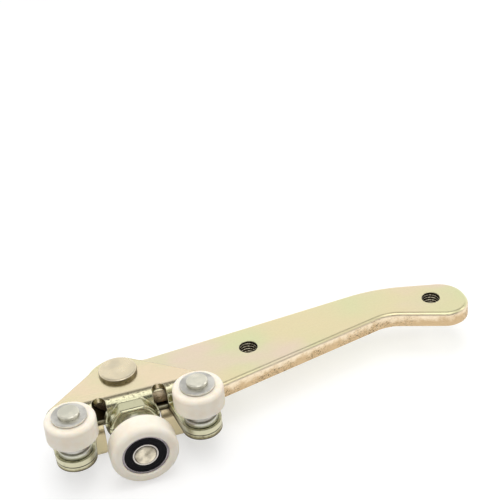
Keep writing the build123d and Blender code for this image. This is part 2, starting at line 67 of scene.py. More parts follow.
print("box in mm:", [round(v / MM, 1) for v in cad_high - cad_low])

# %% [markdown]
# ## Camera
# The camera stands in front of the wheel and a little to its left, and looks down on
# it, so that the plates' tops and the wheel's face both show. It has a long lens, as
# for a catalogue picture, and is tipped a few degrees. A camera's three axes are the
# columns of its matrix, so they are worked out here from three plain angles.

# %% Camera
VIEW_TURN = math.radians(-13.42)
VIEW_RISE = math.radians(33.82)
VIEW_TILT = math.radians(-5.30)
VIEW_PLACE = Vector((-53.61, -470.96, 418.83)) * MM
VIEW_LENS = 97.8
VIEW_NEAR, VIEW_FAR = 0.01, 50

level = Vector((math.cos(VIEW_TURN), math.sin(VIEW_TURN), 0))
towards_viewer = Vector((
    math.sin(VIEW_TURN) * math.cos(VIEW_RISE),
    -math.cos(VIEW_TURN) * math.cos(VIEW_RISE),
    math.sin(VIEW_RISE),
))
upright = towards_viewer.cross(level)
across = math.cos(VIEW_TILT) * level + math.sin(VIEW_TILT) * upright
up = math.cos(VIEW_TILT) * upright - math.sin(VIEW_TILT) * level

lens = bpy.data.cameras.new("catalogue_lens")
lens.lens = VIEW_LENS
lens.clip_start, lens.clip_end = VIEW_NEAR, VIEW_FAR
camera = bpy.data.objects.new("catalogue_camera", lens)
axes = Matrix((across, up, towards_viewer)).transposed()
camera.matrix_world = Matrix.Translation(VIEW_PLACE) @ axes.to_4x4()
bpy.context.collection.objects.link(camera)
scene = bpy.context.scene
scene.camera = camera
scene.view_settings.view_transform = "Standard"
print("camera is", round(VIEW_PLACE.length, 3), "m from the load wheel")

# %% [markdown]
# ## Small helpers
# Colours are easiest to choose on the usual 0 to 255 screen scale, but Blender's
# shaders work in linear light, so every colour goes through one small function. The
# other helpers save typing when nodes are added and joined. Where a helper takes a
# value, it takes either a plain number or colour or the output of another node.

# %% Helpers for colours and nodes
def paint(red, green, blue):
    """Screen colour 0-255 to the linear colour that shaders use."""
    def linear(value):
        value /= 255
        return value / 12.92 if value <= 0.04045 else ((value + 0.055) / 1.055) ** 2.4
    return (linear(red), linear(green), linear(blue), 1)


def add(tree, kind, **settings):
    """Adds a node and sets its plain properties."""
    node = tree.nodes.new(kind)
    for key, value in settings.items():
        setattr(node, key, value)
    return node


def join(tree, source, target):
    """Joins a node's output to another node's input."""
    tree.links.new(source, target)


def feed(tree, value, socket):
    """Gives a socket its value: an output is joined, anything else is set."""
    if isinstance(value, bpy.types.NodeSocket):
        join(tree, value, socket)
    else:
        socket.default_value = value


def math_node(tree, operation, first, second=None):
    """A Math node with one or two values."""
    node = add(tree, "ShaderNodeMath", operation=operation)
    feed(tree, first, node.inputs[0])
    if second is not None:
        feed(tree, second, node.inputs[1])
    return node.outputs[0]


def times(tree, first, second):
    """Two values multiplied."""
    return math_node(tree, "MULTIPLY", first, second)


def ramp(tree, source, low, high, out_low=0.0, out_high=1.0):
    """Spreads low..high of the source over out_low..out_high, smoothly and clamped."""
    node = add(tree, "ShaderNodeMapRange", interpolation_type="SMOOTHSTEP")
    join(tree, source, node.inputs["Value"])
    node.inputs["From Min"].default_value = low
    node.inputs["From Max"].default_value = high
    node.inputs["To Min"].default_value = out_low
    node.inputs["To Max"].default_value = out_high
    return node.outputs["Result"]


def blend(tree, amount, first, second):
    """Mixes two colours."""
    node = add(tree, "ShaderNodeMix", data_type="RGBA")
    feed(tree, amount, node.inputs[0])
    feed(tree, first, node.inputs[6])
    feed(tree, second, node.inputs[7])
    return node.outputs[2]


def mix_values(tree, amount, first, second):
    """Mixes two plain numbers."""
    node = add(tree, "ShaderNodeMix", data_type="FLOAT")
    feed(tree, amount, node.inputs[0])
    feed(tree, first, node.inputs[2])
    feed(tree, second, node.inputs[3])
    return node.outputs[0]


def noise(tree, place, scale, detail=3.0, roughness=0.5):
    """Cloudy noise from 0 to 1; a scale of 1000 has grains about a millimetre wide."""
    node = add(tree, "ShaderNodeTexNoise")
    feed(tree, scale, node.inputs["Scale"])
    node.inputs["Detail"].default_value = detail
    node.inputs["Roughness"].default_value = roughness
    join(tree, place, node.inputs["Vector"])
    return node.outputs["Fac"]


def stretched(tree, place, scale):
    """Coordinates multiplied by a different number along each axis."""
    node = add(tree, "ShaderNodeMapping")
    node.inputs["Scale"].default_value = scale
    join(tree, place, node.inputs["Vector"])
    return node.outputs["Vector"]


print("helpers ready")

# %% [markdown]
# ## Floor, air and lamps
# Metal shows what stands around it, so the room matters more than any single lamp. It is
# a plain studio: a white backdrop behind the object, a wide soft box above, a dark gap
# between those two, and a dark room on the side where the viewer stands. The gap and the
# dark room are what draw dark lines along bends and rounded edges. The floor is pale and
# catches a light shadow. To the camera and in reflections it also glows a little, and so
# reads as white paper without any extra light on the object.

# %% Floor
FLOOR_SIZE = 3.0
FLOOR_GREY = 0.54
FLOOR_GLOW = 0.52

floor_mesh = bpy.data.meshes.new("paper_floor")
half = FLOOR_SIZE / 2
corners = [(-half, -half, 0), (half, -half, 0), (half, half, 0), (-half, half, 0)]
floor_mesh.from_pydata(corners, [], [(0, 1, 2, 3)])
floor = bpy.data.objects.new("paper_floor", floor_mesh)
floor.location = (0, 0, cad_low.z)
bpy.context.collection.objects.link(floor)
floor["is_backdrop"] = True

paper = bpy.data.materials.new("white_paper")
paper.use_nodes = True
tree = paper.node_tree
surface = tree.nodes["Principled BSDF"]
surface.inputs["Base Color"].default_value = (FLOOR_GREY, FLOOR_GREY, FLOOR_GREY, 1)
surface.inputs["Roughness"].default_value = 1.0
surface.inputs["Specular IOR Level"].default_value = 0.0

# The glow is only for rays that may see a white background: from the camera, and by way
# of metal or glass.
path = add(tree, "ShaderNodeLightPath").outputs
seen = math_node(tree, "MAXIMUM", path["Is Camera Ray"], path["Is Glossy Ray"])
seen = math_node(tree, "MAXIMUM", seen, path["Is Transmission Ray"])
glow = add(tree, "ShaderNodeEmission")
join(tree, times(tree, seen, FLOOR_GLOW), glow.inputs["Strength"])
both = add(tree, "ShaderNodeAddShader")
join(tree, surface.outputs[0], both.inputs[0])
join(tree, glow.outputs[0], both.inputs[1])
join(tree, both.outputs[0], tree.nodes["Material Output"].inputs["Surface"])
floor_mesh.materials.append(paper)
print("floor at", round(cad_low.z / MM, 2), "mm")

# %% [markdown]
# The air is painted with one angle. It starts at 0 on the horizon behind the object,
# passes 90 degrees straight up, and ends at 180 on the viewer's side. A ramp gives each
# band of that arch its brightness. To the left and right the room stays pale, so that the
# top doesn't turn black when somebody walks round to the back.

# %% Air
AIR_BANDS = (  # degrees along the arch, brightness
    (0, 0.90), (47, 1.00),  # white backdrop
    (56, 0.22), (75, 0.20),  # dark gap
    (88, 0.75), (132, 0.65),  # soft box above
    (146, 0.10), (176, 0.07),  # dark room
)
SIDE_LEVEL = 0.62
SIDE_STARTS, SIDE_FULL = 0.40, 0.75  # how far a direction leans to the left or right
WHITE = (1, 1, 1, 1)

air = bpy.data.worlds.new("studio_air")
air.use_nodes = True
scene.world = air
tree = air.node_tree
tree.nodes.clear()
parts = add(tree, "ShaderNodeSeparateXYZ")
join(tree, add(tree, "ShaderNodeTexCoord").outputs["Generated"], parts.inputs[0])
arch = math_node(tree, "ARCTAN2", parts.outputs["Z"], parts.outputs["Y"])
arch = math_node(tree, "DIVIDE", arch, math.pi)
bands = add(tree, "ShaderNodeValToRGB")
bands.color_ramp.interpolation = "EASE"
stops = bands.color_ramp.elements
while len(stops) < len(AIR_BANDS):
    stops.new(0.5)
for stop, (angle, brightness) in zip(stops, AIR_BANDS):
    stop.position = angle / 180
    stop.color = (brightness, brightness, brightness, 1)
join(tree, arch, bands.inputs["Fac"])
aside = math_node(tree, "ABSOLUTE", parts.outputs["X"])
aside = ramp(tree, aside, SIDE_STARTS, SIDE_FULL, 0.0, SIDE_LEVEL)
grey = math_node(tree, "MAXIMUM", bands.outputs["Color"], aside)
to_camera = add(tree, "ShaderNodeLightPath").outputs["Is Camera Ray"]
sky = add(tree, "ShaderNodeBackground")
join(tree, blend(tree, to_camera, grey, WHITE), sky.inputs["Color"])
join(tree, sky.outputs[0], add(tree, "ShaderNodeOutputWorld").inputs["Surface"])
print("bands of air:", len(AIR_BANDS))

# %% [markdown]
# Four round lamps light the object. The metal may mirror two of them, a soft box above
# and a small lamp at the side, because they put a soft highlight on it. The other two
# are there for the nylon, which needs more light than the metal does. In the metal they
# would show as extra white spots, so reflections leave them out.

# %% Lamps
LAMPS = (  # name, place in m, width in m, power in W, whether metal mirrors it
    ("soft_box", (0.15, -0.40, 0.95), 0.85, 1.7, True),
    ("side_lamp", (0.95, -0.10, 0.55), 0.45, 0.5, True),
    ("fill_lamp", (-0.25, -0.70, 0.85), 0.80, 1.8, False),
    ("top_fill_lamp", (0.10, 0.20, 1.10), 0.90, 4.0, False),
)

middle = (cad_low + cad_high) / 2
for name, place, width, power, in_metal in LAMPS:
    light = bpy.data.lights.new(name, "AREA")
    light.shape = "DISK"
    light.size = width
    light.energy = power
    lamp = bpy.data.objects.new(name, light)
    lamp.location = place
    lamp.rotation_euler = (middle - Vector(place)).to_track_quat("-Z", "Y").to_euler()
    lamp.visible_glossy = in_metal
    bpy.context.collection.objects.link(lamp)
    print(name, power, "W")

# %% [markdown]
# ## Building blocks for the finishes
# Several finishes need the same effects: cloudy colour in the plating, worn edges, fine
# scratches, rough sheared edges. Each effect is a node group, which is built once, has
# named inputs, and puts out only colours, masks, heights and normals. The shader itself
# stays in each material, so that its constant numbers are easy to find. Many effects start
# from a noise and keep only a part of it. Such a part is written as a pair of noise levels:
# the effect starts at the first one and is full at the second.

# %% Node groups: a small starter
def new_group(name, inputs, outputs):
    """Makes a shader node group; inputs and outputs are (name, kind, default) rows."""
    group = bpy.data.node_groups.new(name, "ShaderNodeTree")
    for label, kind, default in inputs:
        socket = group.interface.new_socket(
            label, in_out="INPUT", socket_type="NodeSocket" + kind)
        socket.default_value = default
    for label, kind in outputs:
        group.interface.new_socket(
            label, in_out="OUTPUT", socket_type="NodeSocket" + kind)
    given = add(group, "NodeGroupInput").outputs
    wanted = add(group, "NodeGroupOutput").inputs
    return group, given, wanted


def place_group(tree, group, **values):
    """Adds a group to a material; underscores in names stand for spaces."""
    node = add(tree, "ShaderNodeGroup", node_tree=group)
    for key, value in values.items():
        feed(tree, value, node.inputs[key.replace("_", " ")])
    return node.outputs


def own_place(tree):
    """Position on the piece, in metres of the shared frame, before anything swivels."""
    return add(tree, "ShaderNodeTexCoord").outputs["Object"]


def own_parts(tree):
    """The X, Y and Z of own_place."""
    node = add(tree, "ShaderNodeSeparateXYZ")
    join(tree, own_place(tree), node.inputs[0])
    return node.outputs


print("group helpers ready")

# %% [markdown]
# Yellow zinc plating is never one colour. The thin film on top shifts from straw to a
# faint green and a faint pink in soft clouds a few centimetres wide. Two slow noises mix
# three colours, and a third, finer one gives the slight mottle inside a cloud.

# %% Plating clouds
GREEN_CLOUDS = (0.36, 0.66)
PINK_CLOUDS = (0.46, 0.66)
PINK_MOST = 0.9
PINK_STRETCH = (0.8, 1.3, 1.0)
MOTTLE_SCALE = 900

plating_clouds, given, wanted = new_group(
    "plating_clouds",
    [
        ("Straw", "Color", WHITE),
        ("Green", "Color", WHITE),
        ("Pink", "Color", WHITE),
        ("Cloud Scale", "Float", 40.0),
    ],
    [("Colour", "Color"), ("Mottle", "Float")],
)
tree = plating_clouds
place = own_place(tree)
slow = noise(tree, place, given["Cloud Scale"], 2.0)
colour = blend(tree, ramp(tree, slow, *GREEN_CLOUDS), given["Straw"], given["Green"])
other = noise(tree, stretched(tree, place, PINK_STRETCH), given["Cloud Scale"], 3.0)
pinkish = ramp(tree, other, *PINK_CLOUDS, 0.0, PINK_MOST)
join(tree, blend(tree, pinkish, colour, given["Pink"]), wanted["Colour"])
join(tree, noise(tree, place, MOTTLE_SCALE, 4.0, 0.65), wanted["Mottle"])
print("plating clouds ready")

# %% [markdown]
# An edge that rubs on a door or a glove is polished brighter than the flat beside it.
# The Bevel node gives the normal that a slightly rounded edge would have. Where it
# differs from the true normal, there is an edge, and noise breaks the line up.

# %% Worn edges
EDGE_TURN = (0.01, 0.16)  # one minus the cosine between the two normals
EDGE_BREAKS = (0.30, 0.55)
EDGE_LEAST = 0.45

worn_edges, given, wanted = new_group(
    "worn_edges",
    [("Width", "Float", 0.4 * MM), ("Break Scale", "Float", 700.0)],
    [("Mask", "Float"), ("Rounded", "Vector")],
)
tree = worn_edges
rounded = add(tree, "ShaderNodeBevel", samples=4)
join(tree, given["Width"], rounded.inputs["Radius"])
true_normal = add(tree, "ShaderNodeNewGeometry").outputs["Normal"]
match = add(tree, "ShaderNodeVectorMath", operation="DOT_PRODUCT")
join(tree, rounded.outputs[0], match.inputs[0])
join(tree, true_normal, match.inputs[1])
turn = math_node(tree, "SUBTRACT", 1.0, match.outputs["Value"])
broken = noise(tree, own_place(tree), given["Break Scale"], 3.0, 0.7)
broken = ramp(tree, broken, *EDGE_BREAKS, EDGE_LEAST, 1.0)
join(tree, times(tree, ramp(tree, turn, *EDGE_TURN), broken), wanted["Mask"])
join(tree, rounded.outputs[0], wanted["Rounded"])
print("worn edges ready")

# %% [markdown]
# Handling leaves hair scratches in every direction. Each set is a noise squeezed hard
# along one direction, so it breaks into thin lines, and only its peaks are kept.

# %% Hair scratches
SCRATCH_SETS = ((0.35, 22.0), (-0.9, 16.0), (1.45, 28.0))  # turn in radians, squeeze
SCRATCH_LEAN = (0.2, 0.3)
SCRATCH_SCALE = 110
SCRATCH_PEAKS = (0.66, 0.74)

hair_scratches, given, wanted = new_group(
    "hair_scratches",
    [("Amount", "Float", 1.0)],
    [("Mask", "Float")],
)
tree = hair_scratches
place = own_place(tree)
total = None
for turn, squeeze in SCRATCH_SETS:
    squeezed = add(tree, "ShaderNodeMapping")
    squeezed.inputs["Rotation"].default_value = (*SCRATCH_LEAN, turn)
    squeezed.inputs["Scale"].default_value = (1.0, squeeze, squeeze)
    join(tree, place, squeezed.inputs["Vector"])
    lines = noise(tree, squeezed.outputs[0], SCRATCH_SCALE, 2.0)
    lines = ramp(tree, lines, *SCRATCH_PEAKS)
    total = lines if total is None else math_node(tree, "MAXIMUM", total, lines)
join(tree, times(tree, total, given["Amount"]), wanted["Mask"])
print("hair scratches ready")

# %% [markdown]
# A blanking press leaves a thick plate's edge sandy: fine upright lines near the top,
# torn grains lower down, and pits where dirt stays, in patches. The group works out how
# high a point is within the plate, and gives a mask for the torn zone, one for the pits,
# and a height for the bump.

# %% Sheared edge
BORDER_SCALE, BORDER_WANDER = 200, 0.3
TORN_FADE = (-0.30, 0.35)
PATCH_SCALE, PATCHES = 45, (0.38, 0.56)
GRAIN_SCALE, GRAIN_STRETCH = 1300, (0.7, 0.7, 1.6)
PITS = (0.52, 0.62)
LINE_SCALE, LINE_STRETCH = 2600, (1, 1, 0.08)
LINE_HEIGHT = 0.35

sheared_edge, given, wanted = new_group(
    "sheared_edge",
    [
        ("Bottom", "Float", 0.0),
        ("Top", "Float", 8 * MM),
        ("Torn Share", "Float", 0.55),
    ],
    [("Torn", "Float"), ("Pits", "Float"), ("Height", "Float")],
)
tree = sheared_edge
place = own_place(tree)
above = math_node(tree, "SUBTRACT", own_parts(tree)["Z"], given["Bottom"])
span = math_node(tree, "SUBTRACT", given["Top"], given["Bottom"])
height_share = math_node(tree, "DIVIDE", above, span)
wander = noise(tree, place, BORDER_SCALE, 4.0, 0.7)
wander = ramp(tree, wander, 0.2, 0.8, -BORDER_WANDER, BORDER_WANDER)
border = math_node(tree, "ADD", given["Torn Share"], wander)
torn = ramp(tree, math_node(tree, "SUBTRACT", border, height_share), *TORN_FADE)
patches = ramp(tree, noise(tree, place, PATCH_SCALE, 3.0, 0.6), *PATCHES)
grains = noise(tree, stretched(tree, place, GRAIN_STRETCH), GRAIN_SCALE, 3.0, 0.8)
pits = times(tree, ramp(tree, grains, *PITS), patches)
lines = noise(tree, stretched(tree, place, LINE_STRETCH), LINE_SCALE, 2.0, 0.6)
lines = times(tree, lines, math_node(tree, "SUBTRACT", 1.0, torn))
relief = math_node(
    tree, "ADD", times(tree, grains, torn), times(tree, lines, LINE_HEIGHT))
join(tree, torn, wanted["Torn"])
join(tree, times(tree, pits, torn), wanted["Pits"])
join(tree, relief, wanted["Height"])
print("sheared edge ready")

# %% [markdown]
# Narrow gaps get painted shade, darkest where a point is most shut in and little light
# gets in; grease and road dust settle there too. The Ambient Occlusion node measures how
# shut in a point is. Noise makes the rim of the painted shade uneven.

# %% Painted shade and grime in the gaps
GAP_DARK_SCALE, GAP_DARK_UNEVEN = 420, 0.10
GAP_DARK_FULL, GAP_DARK_GONE = 0.12, 0.62  # share of the air that a point sees

gap_shade_and_grime, given, wanted = new_group(
    "gap_shade_and_grime",
    [("Reach", "Float", 8 * MM), ("Amount", "Float", 1.0)],
    [("Mask", "Float")],
)
tree = gap_shade_and_grime
# Painted shade: the more shut in a point is, the darker its colour.
shut_in = add(tree, "ShaderNodeAmbientOcclusion", samples=6)
join(tree, given["Reach"], shut_in.inputs["Distance"])
uneven = noise(tree, own_place(tree), GAP_DARK_SCALE, 4.0, 0.6)
uneven = ramp(tree, uneven, 0.3, 0.7, -GAP_DARK_UNEVEN, GAP_DARK_UNEVEN)
openness = math_node(tree, "ADD", shut_in.outputs["AO"], uneven)
darkened = ramp(tree, openness, GAP_DARK_FULL, GAP_DARK_GONE, 1.0, 0.0)
join(tree, times(tree, darkened, given["Amount"]), wanted["Mask"])
print("gap grime ready")

# %% [markdown]
# ## Plated plate and sheet
# The arm and the three bent sheets share one recipe. The flats are a metal with plating
# clouds, scratches and a fine rolled grain. Faces that were cut by the press get the
# sheared edge instead. A piece says which of its faces are cut by a small function that
# looks at the direction the face points in and, on the bent sheets, at where it lies.

# %% Recipe for plated steel
# Colour of the painted shade and grime that all the dark masks lay on.
SHADE_AND_GRIME = paint(58, 52, 38)
PIT_DIRT = paint(70, 50, 31)
# Colour of the painted dark reflection along the bend's crown.
DARK_REFLECTION_PAINT = paint(96, 90, 70)
SCRATCHED_METAL = paint(250, 246, 230)
POLISHED_METAL = paint(250, 246, 232)
MOTTLE_TINT = paint(190, 176, 138)
HAIRS_SHOW, EDGES_SHOW, MOTTLE_SHOWS = 0.35, 0.45, 0.08
FLAT_DULLER, CUT_DULLER = 0.03, 0.06  # added to the gloss figure
TORN_ROUGHNESS = 0.60
MOTTLE_DEPTH, HAIR_DEPTH, CUT_DEPTH = 0.008 * MM, 0.01 * MM, 0.22 * MM


def start_material(name):
    """A new material, its node tree and its Principled shader."""
    made = bpy.data.materials.new(name)
    made.use_nodes = True
    return made, made.node_tree, made.node_tree.nodes["Principled BSDF"]


def bump(tree, height, distance, strength, normal=None):
    """Bump in metres of real depth, on top of another normal if one is given."""
    node = add(tree, "ShaderNodeBump")
    node.inputs["Distance"].default_value = distance
    node.inputs["Strength"].default_value = strength
    join(tree, height, node.inputs["Height"])
    if normal is not None:
        join(tree, normal, node.inputs["Normal"])
    return node.outputs[0]


def plated(name, clouds, cut_faces, cut_span, cut_colours, gloss, gap_dark_reach,
           hollows=None, shaded=None, patchy_painted_light=None):
    """Yellow zinc on plate or sheet.

    clouds: straw, green and pink, and the size of the clouds. cut_faces: function that
    masks the faces cut by the press. cut_span: their lowest and highest level.
    cut_colours: smooth zone, torn zone, and the torn zone's share of the height.
    hollows and rubbed: functions that mask more places to darken, and dark specks of
    painted reflection. shaded: a function that masks an area, and the painted shade tint
    that area has.
    """
    straw, green, pink, cloud_scale = clouds
    cut_smooth, cut_torn, torn_share = cut_colours
    bottom, top = cut_span
    made, tree, shader = start_material(name)
    shader.inputs["Metallic"].default_value = 1.0
    film = place_group(
        tree, plating_clouds, Straw=straw, Green=green, Pink=pink, Cloud_Scale=cloud_scale)
    worn = place_group(tree, worn_edges, Width=0.5 * MM)
    hairs = place_group(tree, hair_scratches, Amount=0.5)["Mask"]
    cut = place_group(tree, sheared_edge, Bottom=bottom, Top=top, Torn_Share=torn_share)
    # Painted shade and grime in shut-in places, plus the piece's own places to darken.
    shade_and_grime = place_group(tree, gap_shade_and_grime, Reach=gap_dark_reach, Amount=0.92)["Mask"]
    is_cut = cut_faces(tree)
    if hollows is not None:
        shade_and_grime = math_node(tree, "MAXIMUM", shade_and_grime, hollows(tree))

    flat = film["Colour"]
    # A tinted area; on the upper sheet the tint is painted shade on the web and the boss.
    if shaded is not None:
        area, tint = shaded
        flat = blend(tree, area(tree), flat, tint)
    # Dark specks of painted reflection, where the piece asks for them.
    if patchy_painted_light is not None:
        flat = blend(tree, patchy_painted_light(tree), flat, DARK_REFLECTION_PAINT)
    flat = blend(tree, times(tree, hairs, HAIRS_SHOW), flat, SCRATCHED_METAL)
    mottled = ramp(tree, film["Mottle"], 0.35, 0.75, 0.0, MOTTLE_SHOWS)
    flat = blend(tree, mottled, flat, MOTTLE_TINT)
    sandy = blend(tree, cut["Torn"], cut_smooth, cut_torn)
    sandy = blend(tree, cut["Pits"], sandy, PIT_DIRT)
    colour = blend(tree, is_cut, flat, sandy)
    colour = blend(tree, times(tree, worn["Mask"], EDGES_SHOW), colour, POLISHED_METAL)
    join(tree, blend(tree, shade_and_grime, colour, SHADE_AND_GRIME), shader.inputs["Base Color"])

    flat_rough = ramp(tree, film["Mottle"], 0.3, 0.7, gloss, gloss + FLAT_DULLER)
    cut_rough = ramp(tree, cut["Torn"], 0.0, 1.0, gloss + CUT_DULLER, TORN_ROUGHNESS)
    rough = mix_values(tree, is_cut, flat_rough, cut_rough)
    join(tree, rough, shader.inputs["Roughness"])

    grain = bump(tree, film["Mottle"], MOTTLE_DEPTH, 0.12, worn["Rounded"])
    grain = bump(tree, hairs, HAIR_DEPTH, 0.4, grain)
    relief = times(tree, cut["Height"], is_cut)
    join(tree, bump(tree, relief, CUT_DEPTH, 0.9, grain), shader.inputs["Normal"])
    return made


print("plated steel recipe ready")

# %% [markdown]
# Masks come from two kinds of measurement. One is the direction a face points in on the
# piece itself, so it doesn't change when the piece swivels. The other is the distance
# from a straight axis, which suits holes and everything that was turned.

# %% Measuring on a piece
def facing(tree, axis):
    """How squarely a face points along "X", "Y" or "Z", from 0 to 1."""
    node = add(tree, "ShaderNodeSeparateXYZ")
    join(tree, add(tree, "ShaderNodeTexCoord").outputs["Normal"], node.inputs[0])
    return math_node(tree, "ABSOLUTE", node.outputs[axis])


def upright_faces(tree):
    """All faces that stand upright: the cut edge of a flat plate."""
    return ramp(tree, facing(tree, "Z"), 0.45, 0.65, 1.0, 0.0)


def axis_distance(tree, centre, along):
    """Distance in metres from a straight axis through centre, along "Y" or "Z"."""
    shift = add(tree, "ShaderNodeVectorMath", operation="SUBTRACT")
    join(tree, own_place(tree), shift.inputs[0])
    shift.inputs[1].default_value = centre
    flat = add(tree, "ShaderNodeVectorMath", operation="MULTIPLY")
    join(tree, shift.outputs[0], flat.inputs[0])
    flat.inputs[1].default_value = (1, 0, 1) if along == "Y" else (1, 1, 0)
    size = add(tree, "ShaderNodeVectorMath", operation="LENGTH")
    join(tree, flat.outputs[0], size.inputs[0])
    return size.outputs["Value"]


print("measuring helpers ready")

# %% [markdown]
# The arm is a thick blanked plate. It has the palest and widest clouds of the four plated
# pieces, and every upright face is a cut face, torn over almost two thirds of its height.
# The walls of its two tapped holes get painted shade, which the mask finds by the
# distance from each hole's axis.

# %% Arm plate
HOLE_SHADE_STARTS, HOLE_SHADE_ENDS = 0.02 * MM, 0.12 * MM  # outside the hole's wall
# How dark the painted shade on the hole walls is.
HOLE_SHADE_DARKNESS = 0.96
ARM_CLOUDS = (paint(250, 236, 192), paint(236, 240, 190), paint(252, 230, 210), 17.0)
ARM_CUT = (paint(248, 231, 202), paint(226, 200, 160), 0.64)

tapped_holes = [m for m in frame["record"]["mounts"] if m["kind"] == "threaded_hole"]
arm_low, arm_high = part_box("arm_plate")


def painted_hole_shade(tree):
    """Painted shade on the walls of the two tapped holes."""
    inside = []
    for hole in tapped_holes:
        away = axis_distance(tree, hole["pos_m"], "Z")
        wall_r = hole["dims"]["r_mm"] * MM
        # Painted shade on the hole's wall, darkest at the wall itself.
        wall_shade = ramp(tree, away, wall_r + HOLE_SHADE_STARTS, wall_r + HOLE_SHADE_ENDS, HOLE_SHADE_DARKNESS, 0.0)
        inside.append(wall_shade)
    return math_node(tree, "MAXIMUM", *inside)


arm_look = plated(
    "arm_plating", ARM_CLOUDS, upright_faces, (arm_low.z, arm_high.z), ARM_CUT,
    gloss=0.32, gap_dark_reach=18 * MM, hollows=painted_hole_shade,
)
print("arm is", round((arm_high.z - arm_low.z) / MM, 2), "mm thick")

# %% [markdown]
# The bent sheets are pressed from thinner, smoother stock. The upper bracket is the
# glossiest of them. Only the rim of its top leg and the rims of its two pads are cut
# faces: the web between them also stands upright, but it is the sheet's own smooth side.
# The web and the boss get a greener tint than the leg, darkened as painted shade. Dark
# specks along the crown of the big bend are a painted dark reflection. The seam between
# the upper and the lower sheet is darker, and so are the soles of the pads, towards the
# bottom.

# %% Bent sheets
PAD_RIM_BEFORE_WEB = 1.2 * MM
PAD_RIM_OVER_TOP = 0.1 * MM
BOSS_HALF = 14.5 * MM
LEG_RIM_BEHIND_WEB = 5.6 * MM
SEAM_DARK, SEAM_CLEAR = 0.14 * MM, 0.42 * MM
SOLE_DARK, SOLE_CLEAR = 0.15 * MM, 0.8 * MM
GREENER_FULL, GREENER_GONE = 1.5 * MM, 6.0 * MM  # behind the web's front
CROWN_LOW, CROWN_HIGH = (0.66, 0.80), (0.93, 0.98)  # how squarely the bend faces up
SPECK_SCALE, SPECK_STRETCH, SPECKS = 1100, (0.6, 1.0, 1.0), (0.50, 0.60)
SPECK_PATCH_SCALE, SPECK_PATCHES = 160, (0.36, 0.54)

upper_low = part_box("upper_bracket")[0]
lower_low, lower_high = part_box("lower_bracket")
stop_low, stop_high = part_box("stop_plate")
web_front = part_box("stop_plate")[0].y
pad_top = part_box("right_spacer_washer")[0].z
leg_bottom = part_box("swivel_bush")[1].z


def upper_cut_faces(tree):
    """Rims of the two pads and of the top leg."""
    where = own_parts(tree)
    before_web = math_node(tree, "LESS_THAN", where["Y"], web_front - PAD_RIM_BEFORE_WEB)
    low_down = math_node(tree, "LESS_THAN", where["Z"], pad_top + PAD_RIM_OVER_TOP)
    sideways = math_node(tree, "ABSOLUTE", where["X"])
    off_boss = math_node(tree, "GREATER_THAN", sideways, BOSS_HALF)
    pads = times(tree, times(tree, before_web, low_down), off_boss)
    behind = math_node(tree, "GREATER_THAN", where["Y"], web_front + LEG_RIM_BEHIND_WEB)
    leg = times(tree, behind, math_node(tree, "GREATER_THAN", where["Z"], leg_bottom))
    return times(tree, math_node(tree, "MAXIMUM", pads, leg), upright_faces(tree))


def seam_and_sole(tree):
    """Darker seam between the two sheets, and pads' soles darker towards the bottom."""
    height = own_parts(tree)["Z"]
    off = math_node(tree, "ABSOLUTE", math_node(tree, "SUBTRACT", height, lower_high.z))
    seam = ramp(tree, off, SEAM_DARK, SEAM_CLEAR, 0.95, 0.0)
    # The pads' soles get darker towards the bottom.
    sole = ramp(tree, height, lower_low.z + SOLE_DARK, lower_low.z + SOLE_CLEAR, 0.85, 0.0)
    return math_node(tree, "MAXIMUM", seam, sole)


def front_of_bend(tree):
    """The web and the boss, whose greener tint is darkened as painted shade."""
    behind = own_parts(tree)["Y"]
    full, gone = web_front + GREENER_FULL, web_front + GREENER_GONE
    return ramp(tree, behind, full, gone, 0.85, 0.0)


def painted_bend_reflection(tree):
    """Painted dark reflection in specks along the crown of the big bend, in patches."""
    up = facing(tree, "Z")
    crown = times(tree, ramp(tree, up, *CROWN_LOW), ramp(tree, up, *CROWN_HIGH, 1.0, 0.0))
    place = own_place(tree)
    specks = noise(tree, stretched(tree, place, SPECK_STRETCH), SPECK_SCALE, 4.0, 0.7)
    specks = ramp(tree, specks, *SPECKS)
    patches = noise(tree, place, SPECK_PATCH_SCALE, 2.0)
    patches = ramp(tree, patches, *SPECK_PATCHES, 0.2, 0.85)
    return times(tree, crown, times(tree, specks, patches))


SHEET_CLOUDS = (paint(244, 230, 188), paint(238, 230, 190), paint(248, 228, 196), 26.0)
SHEET_CUT = (paint(206, 202, 172), paint(160, 152, 120), 0.6)
# Greener tint of the web and the boss, darkened as painted shade.
WEB_SHADE_TINT = paint(206, 206, 172)
upper_look = plated(
    "upper_sheet_plating", SHEET_CLOUDS, upper_cut_faces, (upper_low.z, pad_top), SHEET_CUT,
    gloss=0.24, gap_dark_reach=12 * MM, hollows=seam_and_sole,
    shaded=(front_of_bend, WEB_SHADE_TINT), patchy_painted_light=painted_bend_reflection,
)
lower_look = plated(
    "lower_sheet_plating", SHEET_CLOUDS, upright_faces, (lower_low.z, lower_high.z),
    SHEET_CUT, gloss=0.30, gap_dark_reach=12 * MM, hollows=seam_and_sole,
)
print("upper sheet is", round((pad_top - lower_high.z) / MM, 2), "mm thick")
print("lower sheet is", round((lower_high.z - lower_low.z) / MM, 2), "mm thick")

# %% [markdown]
# The stop plate has two tabs that point down. They are browner and duller than the other
# sheets, and their cut faces are the ones at the sides of the tabs.

# %% Stop plate
STOP_CLOUDS = (paint(222, 206, 168), paint(206, 198, 158), paint(226, 204, 170), 30.0)
STOP_CUT = (paint(205, 190, 155), paint(190, 172, 134), 0.5)


def tab_cut_faces(tree):
    """The sides of the tabs."""
    return ramp(tree, facing(tree, "X"), 0.5, 0.7)


